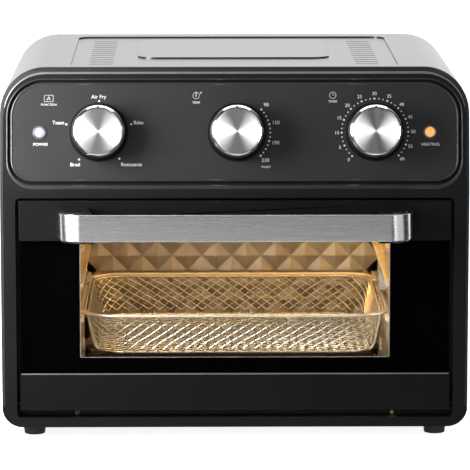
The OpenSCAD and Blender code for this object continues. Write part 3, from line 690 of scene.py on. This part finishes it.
def print_timer(prints):
    """Marks round the right dial, with a small clock for a sign."""
    prints.move_to("timer_turn")
    angles = [226.5 - i * 7.54 for i in range(37)]
    print_dots(prints, angles, 3, 1.6, 1.1)
    labels = [str(minutes) for minutes in range(0, 65, 5)]
    print_round(prints, labels, angles[::3], 31.8, 2.8)
    sign_x, sign_up = -35.0, 30.6
    prints.circle(sign_x, sign_up, 2.8, 0.3)
    prints.stroke(sign_x, sign_up, sign_x, sign_up + 1.8, 0.3)
    prints.stroke(sign_x, sign_up, sign_x + 1.3, sign_up, 0.3)
    prints.words("TIMER", sign_x, 25.3, 1.9)
    prints.words("HEATING", 46.1, -10.4, 2.5)


def make_prints():
    """The white lettering and signs of the panel."""
    prints = Prints()
    print_function(prints)
    print_temperature(prints)
    print_timer(prints)
    make_piece("panel_prints", prints.bm, GLOWING_PRINT, "case")


# ---- Rolled and rounded edges round the fascia ----

ROLL_STEPS = 10


def half_round(centre, side, out, half_width, height):
    """Points of a half-round bead section, with its foot sunk a little below the centre."""
    foot = mm(0.2)
    points = [centre - out * foot + side * half_width]
    for i in range(ROLL_STEPS + 1):
        a = math.pi * i / ROLL_STEPS
        points.append(centre + side * half_width * math.cos(a) + out * height * math.sin(a))
    points.append(centre - out * foot - side * half_width)
    return points


SHELL_CORNER = mm(38)


def fascia_lean():
    """The height where the front starts to lean back, its slope and the way into it."""
    centre, inward = joint_place("function_turn")
    slope = -inward.z / inward.y
    return centre.z - (centre.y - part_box("front_frame")[0].y) / slope, slope, inward


def make_shell_edge():
    """A rounded bead in the seam between the shell and the frame.

    It runs up one side, over the top, where it is widest, and down the other side.
    """
    front, shell_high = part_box("front_frame")[0].y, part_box("outer_shell")[1]
    lean_z, slope, inward = fascia_lean()
    side_inset, top_inset = mm(3.7), mm(5.2)
    # Half width, height and setback of the bead
    side_bead, top_bead = mm(0.3, 0.2, 0.6), mm(1.2, 1.0, 0.9)
    edge_x = shell_high.x - side_inset
    cx, cz = shell_high.x - SHELL_CORNER, shell_high.z - SHELL_CORNER
    half = [(edge_x, z, 0.0) for z in (mm(27), mm(120), lean_z - mm(2), lean_z + mm(2))]
    for i in range(25):
        a = math.radians(90 * i / 24)
        half.append((cx + (SHELL_CORNER - side_inset) * math.cos(a),
                     cz + (SHELL_CORNER - top_inset) * math.sin(a), a))
    sections = []
    for x, z, a in half + [(-x, z, math.pi - a) for x, z, a in reversed(half)]:
        out = -inward if z > lean_z else Vector((0, -1, 0))
        side = Vector((math.cos(a), 0, math.sin(a)))
        side = (side - out * side.dot(out)).normalized()
        half_width, height, setback = side_bead.lerp(top_bead, math.sin(a) ** 2)
        foot = Vector((x, front + setback + max(0.0, z - lean_z) * slope, z))
        sections.append(half_round(foot, side, out, half_width, height))
    bm = bmesh.new()
    sweep(bm, sections)
    # The bead's light grey finish paints a highlight line along the black shell's edge.
    shade_smooth(make_piece("shell_edge", bm, HIGHLIGHT_BEAD, "case"))


def make_shell_lip():
    """A flat lip that carries the top sheet forward to its bead."""
    front, shell_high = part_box("front_frame")[0].y + mm(2.2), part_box("outer_shell")[1]
    lean_z, slope, _ = fascia_lean()
    thick, depth, start_angle = mm(1.4), mm(9), 52
    radius = SHELL_CORNER - mm(0.02)
    cx, cz = shell_high.x - SHELL_CORNER, shell_high.z - SHELL_CORNER
    half = []
    for i in range(13):
        a = math.radians(start_angle + (90 - start_angle) * i / 12)
        half.append((cx + radius * math.cos(a), cz + radius * math.sin(a), a))
    sections = []
    for x, z, a in half + [(-x, z, math.pi - a) for x, z, a in reversed(half)]:
        inner = Vector((-math.cos(a), 0, -math.sin(a))) * thick
        start = Vector((x, front + (z - lean_z) * slope, z))
        end = start + Vector((0, depth, 0))
        sections.append([start, end, end + inner, start + inner])
    bm = bmesh.new()
    sweep(bm, sections)
    lip = make_piece("shell_lip", bm, MATERIALS["shell_paint"], "case")
    soften(lip, 0.15)


def make_fascia_edge(name, grow_mm, half_mm, height_mm, low_grow_mm=0.0, low_half_mm=0.0):
    """A rounded satin edge that follows the outline of the panel, grown by grow_mm.

    Along the panel's lower edge it grows and widens by the last two values.
    """
    centre, inward = joint_place("temperature_turn")
    place = fascia_place("temperature_turn")
    panel_low, panel_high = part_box("control_panel")
    back_drop = mm(0.7)
    low = (panel_low.z - centre.z) / inward.y + back_drop
    high = (panel_high.z - centre.z) / inward.y
    half = (panel_high.x - panel_low.x) / 2
    top_r, low_r, grow = mm(28), mm(18), mm(grow_mm)
    outline = []
    for cx, cy, radius, start in ((half - top_r, high - top_r, top_r, 0),
                                  (top_r - half, high - top_r, top_r, 90),
                                  (low_r - half, low + low_r, low_r, 180),
                                  (half - low_r, low + low_r, low_r, 270)):
        for i in range(13):
            a = math.radians(start + 90 * i / 12)
            outline.append((cx + (radius + grow) * math.cos(a),
                            cy + (radius + grow) * math.sin(a), a))
    sections = []
    for x, y, a in outline:
        downward = max(0.0, -math.sin(a))
        # The dial that gives the place isn't quite in the middle of the panel
        foot = place @ Vector((x - centre.x, y - downward * mm(low_grow_mm), 0))
        side = (place.to_3x3() @ Vector((math.cos(a), math.sin(a), 0))).normalized()
        half_width = mm(half_mm + downward * low_half_mm)
        sections.append(half_round(foot, side, -inward, half_width, mm(height_mm)))
    bm = bmesh.new()
    sweep(bm, sections, True)
    shade_smooth(make_piece(name, bm, EDGE, "case"))


# ---- The door ----

def make_glass_border():
    """The black print behind the glass, round its clear window."""
    low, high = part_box("door_glass")
    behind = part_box("door_inner_frame")[0].y - mm(0.03)
    half_window, window_low, window_high = mm(129.5), mm(67.9), mm(167.5)
    place = Matrix(((1, 0, 0, 0), (0, 0, -1, behind), (0, 1, 0, 0), (0, 0, 0, 1)))
    inset, corner = mm(0.4), mm(1)
    outer = rounded_box(low.x + inset, low.z + inset, high.x - inset, high.z - inset, corner)
    inner = rounded_box(-half_window, window_low, half_window, window_high, corner)
    bm = bmesh.new()
    ring_prism(bm, outer, inner, 0, mm(0.12), place)
    make_piece("glass_border", bm, BORDER, "door")
    lip = mm(0.5)
    rim = rounded_box(lip - half_window, window_low + lip, half_window - lip,
                      window_high - lip, corner)
    bm = bmesh.new()
    ring_prism(bm, inner, rim, 0, mm(0.1), place)
    make_piece("window_rim", bm, MATERIALS["liner_steel"], "door")


def make_rail_edge():
    """A rounded edge along the top of the bottom rail, under the glass."""
    low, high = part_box("door_bottom_rail")
    half_width, inset = mm(0.6), mm(0.8)
    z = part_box("door_glass")[0].z + mm(8.7) - half_width
    sections = [half_round(Vector((x, low.y, z)), Vector((0, 0, 1)), Vector((0, -1, 0)),
                           half_width, mm(0.45)) for x in (low.x + inset, high.x - inset)]
    bm = bmesh.new()
    sweep(bm, sections)
    # The bead's light grey finish paints a highlight line along the black rail's top edge.
    shade_smooth(make_piece("rail_edge", bm, HIGHLIGHT_BEAD, "door"))


# ---- The basket ----

RIM_R = mm(1.5)
WIRE_R = mm(0.55)


def basket_loop(inset, z, corner):
    """A round-cornered loop of the basket at a height, inset from the rim."""
    low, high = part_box("basket_rim")
    flat = rounded_box(low.x + inset, low.y + inset, high.x - inset, high.y - inset,
                       corner, 10)
    return [Vector((x, y, z)) for x, y in flat]


def spaced(loop, count):
    """Points at even distances round a closed loop."""
    lengths = [0.0]
    for a, b in zip(loop, loop[1:] + loop[:1]):
        lengths.append(lengths[-1] + (b - a).length)
    points, k = [], 0
    for i in range(count):
        goal = lengths[-1] * i / count
        while lengths[k + 1] < goal:
            k += 1
        share = (goal - lengths[k]) / max(lengths[k + 1] - lengths[k], 1e-9)
        points.append(loop[k].lerp(loop[(k + 1) % len(loop)], share))
    return points


def wall_wires(bm, top, bottom, count, lean):
    """Slanting wires from the rim to the floor, all leaning one way round the wall."""
    rows = 9
    offset = WIRE_R * 0.8 * (1 if lean > 0 else -1)
    centre = sum(top, Vector()) / len(top)
    upper, lower = (spaced(loop, count * rows) for loop in (top, bottom))
    for i in range(count):
        points = []
        for row in range(rows + 1):
            k = (i * rows + round(lean * row)) % (count * rows)
            point = upper[k].lerp(lower[k], row / rows)
            outward = Vector((point.x - centre.x, point.y - centre.y, 0)).normalized()
            points.append(point + outward * offset)
        wire(bm, points, WIRE_R)


def floor_wires(bm, loop, pitch, slope, lift):
    """Slanting wires across the basket's floor, cut off at its outline."""
    along = Vector((1, slope)).normalized()
    across = Vector((-along.y, along.x))
    flat = [Vector((p.x, p.y)) for p in loop]
    spans = [across.dot(p) for p in flat]
    count = int((max(spans) - min(spans)) / pitch)
    for i in range(1, count + 1):
        level = min(spans) + i * pitch
        hits = []
        for a, b in zip(flat, flat[1:] + flat[:1]):
            da, db = across.dot(a) - level, across.dot(b) - level
            if da * db < 0:
                hits.append(a.lerp(b, da / (da - db)))
        if len(hits) == 2 and (hits[0] - hits[1]).length > pitch:
            z = loop[0].z + lift
            wire(bm, [Vector((p.x, p.y, z)) for p in hits], WIRE_R)


def make_basket():
    """The wire basket: rim, flared lip, lattice walls and floor, and its foot loop."""
    rim_low, rim_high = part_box("basket_rim")
    mesh_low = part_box("basket_mesh")[0]
    lip_z = rim_high.z - RIM_R
    wall_inset = mesh_low.x - rim_low.x + mm(0.6)
    floor_inset = wall_inset + mm(6)
    floor_z = mesh_low.z + WIRE_R + mm(0.3)
    corner = mm(26)
    top = basket_loop(wall_inset, rim_low.z + mm(0.4), corner)
    bottom = basket_loop(floor_inset, floor_z + mm(3.5), corner)
    base = basket_loop(floor_inset + mm(3), floor_z, corner - mm(3))
    lip = basket_loop(RIM_R, lip_z, mm(30))
    bm = bmesh.new()
    wire(bm, lip, RIM_R, 12, True)
    wire(bm, top, mm(1.0), 10, True)
    middle_inset = (wall_inset + RIM_R) / 2
    wire(bm, basket_loop(middle_inset, lip_z, mm(28)), mm(0.8), 8, True)
    wire(bm, base, mm(0.9), 10, True)
    for share in (0.16, 0.84):
        hanger_wire(bm, rim_low.y + (rim_high.y - rim_low.y) * share, rim_low.x + RIM_R,
                    rim_low.x + wall_inset, rim_low.x + floor_inset, lip_z, floor_z)
    make_smooth_piece("basket_frame", bm, "basket", ("basket_rim",))
    lattice = bmesh.new()
    count, lean, pitch, slope = 82, 4.5, mm(8), 0.7
    wall_wires(lattice, top, bottom, count, lean)
    wall_wires(lattice, top, bottom, count, -lean)
    bend_wires(lattice, bottom, base, count)
    floor_wires(lattice, base, pitch, slope, WIRE_R * 0.8)
    floor_wires(lattice, base, pitch, -slope, -WIRE_R * 0.2)
    lip_wires(lattice, lip, top, 22)
    make_smooth_piece("basket_lattice", lattice, "basket", ("basket_mesh",))


def hanger_wire(bm, y, lip_x, top_x, floor_x, lip_z, floor_z):
    """A thick wire from the lip down one wall, under the floor and up the other wall."""
    radius, bend = mm(1.2), mm(7)
    low_z = floor_z - radius - WIRE_R
    half = [Vector((lip_x, y, lip_z)), Vector((top_x - radius, y, lip_z - mm(1.5))),
            Vector((floor_x - radius - mm(0.6), y, low_z + bend))]
    for x, z in arc_points(floor_x + bend - radius, low_z + bend, bend, 195, 270, 5):
        half.append(Vector((x, y, z)))
    other = [Vector((-p.x, p.y, p.z)) for p in reversed(half)]
    wire(bm, half + other, radius, 8)


def bend_wires(bm, bottom, base, count):
    """Short bent ends that carry the wall wires over into the floor."""
    for a, b in zip(spaced(bottom, count), spaced(base, count)):
        middle = Vector((a.x, a.y, b.z)).lerp(a.lerp(b, 0.5), 0.35)
        wire(bm, [a, middle, b], WIRE_R)


def lip_wires(bm, lip, top, count):
    """Short struts that carry the flared lip on the wall."""
    for a, b in zip(spaced(lip, count), spaced(top, count)):
        wire(bm, [a, b], mm(0.8), 8)


def make_smooth_piece(name, bm, body, stands_for):
    """A wire piece that stands for CAD nodes."""
    for face in bm.faces:
        face.smooth = True
    piece = make_piece(name, bm, MATERIALS["basket_wire"], body)
    shade_smooth(piece)
    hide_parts(*stands_for)


# ---- The cooking cavity ----

def make_back_wall():
    """The cavity's back, pressed into four-sided pyramids on their corners."""
    low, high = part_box("cavity_back")
    height = mm(2.2)
    cell = mm(13)
    columns = 2 * round((high.x - low.x) / cell / 2)
    rows = 2 * round((high.z - low.z) / cell / 2)
    bm = bmesh.new()
    front = low.y + mm(0.2)
    grid = []
    for j in range(rows + 1):
        line = []
        for i in range(columns + 1):
            inside = 0 < i < columns and 0 < j < rows
            peak = height if inside and (i + j) % 2 == 0 else 0.0
            line.append(bm.verts.new((low.x + (high.x - low.x) * i / columns, front - peak,
                                      low.z + (high.z - low.z) * j / rows)))
        grid.append(line)
    for j in range(rows):
        for i in range(columns):
            a, b = grid[j][i], grid[j][i + 1]
            c, d = grid[j + 1][i + 1], grid[j + 1][i]
            if (i + j) % 2 == 0:
                faces = ([a, b, d], [b, c, d])
            else:
                faces = ([a, b, c], [a, c, d])
            for face in faces:
                bm.faces.new(face)
    bmesh.ops.solidify(bm, geom=bm.faces[:], thickness=mm(0.7))
    wall = make_piece("cavity_back_pressed", bm, MATERIALS["cavity_steel"], "case")
    bevel = wall.modifiers.new("edges", "BEVEL")
    bevel.width = mm(0.7)
    bevel.segments = 2
    bevel.limit_method = "ANGLE"
    bevel.angle_limit = math.radians(9)
    shade_smooth(wall)
    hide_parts("cavity_back")


def make_wall_ribs():
    """Upright pressed ribs on both side walls, between and below the rack runners."""
    width, pitch, height, corner, runner = mm(11), mm(32), mm(0.9), mm(5), mm(7)
    rows = ((mm(40), mm(78)), (mm(144), mm(168)))
    for side, node in ((-1, "cavity_wall_left"), (1, "cavity_wall_right")):
        low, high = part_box(node)
        face = high.x - runner if side < 0 else low.x + runner
        place = Matrix(((0, 0, -side, face), (1, 0, 0, 0), (0, 1, 0, 0), (0, 0, 0, 1)))
        bm = bmesh.new()
        for k in range(7):
            y = low.y + mm(26) + k * pitch
            for start, end in rows:
                outline = rounded_box(y, low.z + start, y + width, low.z + end, corner)
                prism(bm, outline, 0, height, place)
        rib = make_piece(node + "_ribs", bm, MATERIALS["cavity_steel"], "case")
        soften(rib, 0.6)


# ---- Camera, light and floor ----

def make_camera():
    """The studio camera, far off and a little above the object."""
    camera = bpy.data.cameras.new("camera")
    camera.lens = 257.3
    camera.sensor_width = 36
    camera.clip_end = 60
    holder = new_object("camera", camera)
    holder.location = mm(-34.5, -2884, 620)
    pitch, yaw = math.radians(9.22), math.radians(0.717)
    holder.rotation_euler = (math.pi / 2 - pitch, 0, -yaw)
    bpy.context.scene.camera = holder


def ramp(tree, value, stops):
    """Brightness along a value from 0 to 1, as a list of (place, brightness)."""
    node = add(tree, "ValToRGB", None, {0: value})
    elements = node.color_ramp.elements
    while len(elements) < len(stops):
        elements.new(0.5)
    for element, (place, level) in zip(elements, stops):
        element.position = place
        element.color = (level, level, level, 1)
    return node.outputs[0]


# Studio boxes as they stand round the object: stops of azimuth and of elevation in degrees,
# each with a share of the brightness, and the brightness itself. Azimuth 0 is towards the
# camera and rises to the right.
SOFT_BOXES = (
    ([(-58, 0), (-52, 0.4), (-30, 0.4), (-24, 1), (-11, 1), (-6, 0)],
     [(-12, 0), (-8, 1), (28, 1), (34, 0)], 3.6),
    ([(17, 0), (21, 1), (30, 1), (36, 0.5), (66, 0.5), (74, 0)],
     [(-12, 0), (-8, 1), (24, 1), (30, 0)], 2.6),
    ([(-180, 1), (-112, 1), (-106, 0), (106, 0), (112, 1), (180, 1)],
     [(-90, 0.3), (-20, 1), (50, 1), (70, 0.4), (90, 0.4)], 1.5),
    ([(-10, 0), (-8, 1), (8, 1), (10, 0)], [(-50, 0), (-48, 1), (-25, 1), (-21, 0)], 2.8),
)
AMBIENT = 0.05


def make_world():
    """A studio in the round, which the camera itself sees as plain white."""
    world = bpy.data.worlds.new("studio")
    bpy.context.scene.world = world
    world.use_nodes = True
    tree = world.node_tree
    tree.nodes.clear()
    direction = add(tree, "TexCoord").outputs["Generated"]
    parts = add(tree, "SeparateXYZ", None, {0: direction}).outputs
    toward = math_node(tree, "MULTIPLY", parts[1], -1.0)
    azimuth = math_node(tree, "ARCTAN2", parts[0], toward)
    across = math_node(tree, "MULTIPLY_ADD", azimuth, 0.5 / math.pi, 0.5)
    upright = math_node(tree, "MULTIPLY_ADD", parts[2], 0.5, 0.5)
    level = AMBIENT
    for turns, heights, brightness in SOFT_BOXES:
        sides = ramp(tree, across, [(d / 360 + 0.5, share) for d, share in turns])
        rows = ramp(tree, upright, [(math.sin(math.radians(e)) / 2 + 0.5, share)
                                    for e, share in heights])
        shape = math_node(tree, "MULTIPLY", sides, rows)
        level = math_node(tree, "MULTIPLY_ADD", shape, brightness, level)
    seen = add(tree, "LightPath").outputs["Is Camera Ray"]
    shown = math_node(tree, "MAXIMUM", level, seen)
    light = add(tree, "Background", None, {"Strength": 1.0})
    tree.links.new(shown, light.inputs["Color"])
    out = tree.nodes.new("ShaderNodeOutputWorld")
    tree.links.new(light.outputs[0], out.inputs[0])


def make_light(name, place, aim, width, height, power, colour=(1, 1, 1)):
    """A soft rectangular light that the camera doesn't see."""
    lamp = bpy.data.lights.new(name, "AREA")
    lamp.shape = "RECTANGLE"
    lamp.size, lamp.size_y = width, height
    lamp.energy = power
    lamp.color = colour
    holder = new_object(name, lamp)
    holder.location = place
    holder.rotation_euler = (Vector(aim) - Vector(place)).to_track_quat("-Z", "Y").to_euler()
    holder.visible_camera = False


def make_lights():
    """Soft boxes round the object, and the warm lamp inside the cavity."""
    make_light("left_box", (-0.38, -0.3, 0.34), (-0.15, -0.1, 0.26), 0.2, 0.25, 8.0)
    make_light("overhead", (0.0, 0.35, 1.6), (0.0, 0.05, 0.2), 1.7, 1.2, 14.0)
    ceiling_low, ceiling_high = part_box("cavity_ceiling")
    middle = (ceiling_low + ceiling_high) / 2
    top = ceiling_low.z - mm(3)
    back = ceiling_high.y
    make_light("wall_glow", (0, back - mm(70), top), (0, back, mm(130)), mm(230), mm(40),
               0.22, WARM)
    basket_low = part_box("basket_rim")[0]
    make_light("basket_glow", (0, ceiling_low.y + mm(8), top),
               (0, basket_low.y + mm(8), basket_low.z - mm(10)), mm(230), mm(10), 0.15, WARM)
    lamp_low, lamp_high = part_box("lamp_cover")
    lamp_place = (lamp_low.x - mm(4), (lamp_low.y + lamp_high.y) / 2,
                  (lamp_low.z + lamp_high.z) / 2)
    make_light("cavity_lamp", lamp_place, (-0.05, middle.y, 0.05), mm(24), mm(24), 0.2, WARM)


def make_floor():
    """A wide pale floor."""
    bm = bmesh.new()
    bmesh.ops.create_grid(bm, x_segments=8, y_segments=8, size=15)
    mesh = bpy.data.meshes.new("floor")
    bm.to_mesh(mesh)
    bm.free()
    material, tree, out = new_material("floor")
    patches = noise(tree, 900)
    shader = add(tree, "BsdfPrincipled", None, {
        "Base Color": two_tone(tree, patches, (0.86, 0.86, 0.86), (0.89, 0.89, 0.89)),
        "Roughness": 0.85, "Specular IOR Level": 0.1,
        "Emission Color": (1, 1, 1, 1), "Emission Strength": 0.3})
    bright = add(tree, "Emission", None, {"Color": (1, 1, 1, 1), "Strength": 0.55})
    lifted = add(tree, "AddShader", None, {0: shader.outputs[0], 1: bright.outputs[0]})
    path = add(tree, "LightPath").outputs
    mix = add(tree, "MixShader", None, {0: path["Is Camera Ray"], 1: shader.outputs[0],
                                        2: lifted.outputs[0]})
    # Without this the glass mirrors the floor from its inner face
    mirrored = math_node(tree, "GREATER_THAN", path["Glossy Depth"], 0.5)
    inner = math_node(tree, "MULTIPLY", mirrored, path["Is Transmission Ray"])
    empty = add(tree, "BsdfTransparent")
    hidden = add(tree, "MixShader", None, {0: inner, 1: mix.outputs[0], 2: empty.outputs[0]})
    tree.links.new(hidden.outputs[0], out.inputs[0])
    mesh.materials.append(material)
    floor = new_object("floor", mesh)
    floor.visible_glossy = False


bpy.context.scene.view_settings.view_transform = "Standard"
make_camera()
make_world()
make_floor()
make_lights()
finish_cad_nodes()
make_caps()
make_dial_rings()
make_prints()
make_shell_lip()
make_shell_edge()
make_fascia_edge("panel_edge", -0.9, 0.8, 0.5)
make_fascia_edge("bezel_edge", 2.9, 0.55, 0.4, 1.9, 1.1)
make_glass_border()
make_rail_edge()
make_basket()
make_back_wall()
make_wall_ribs()
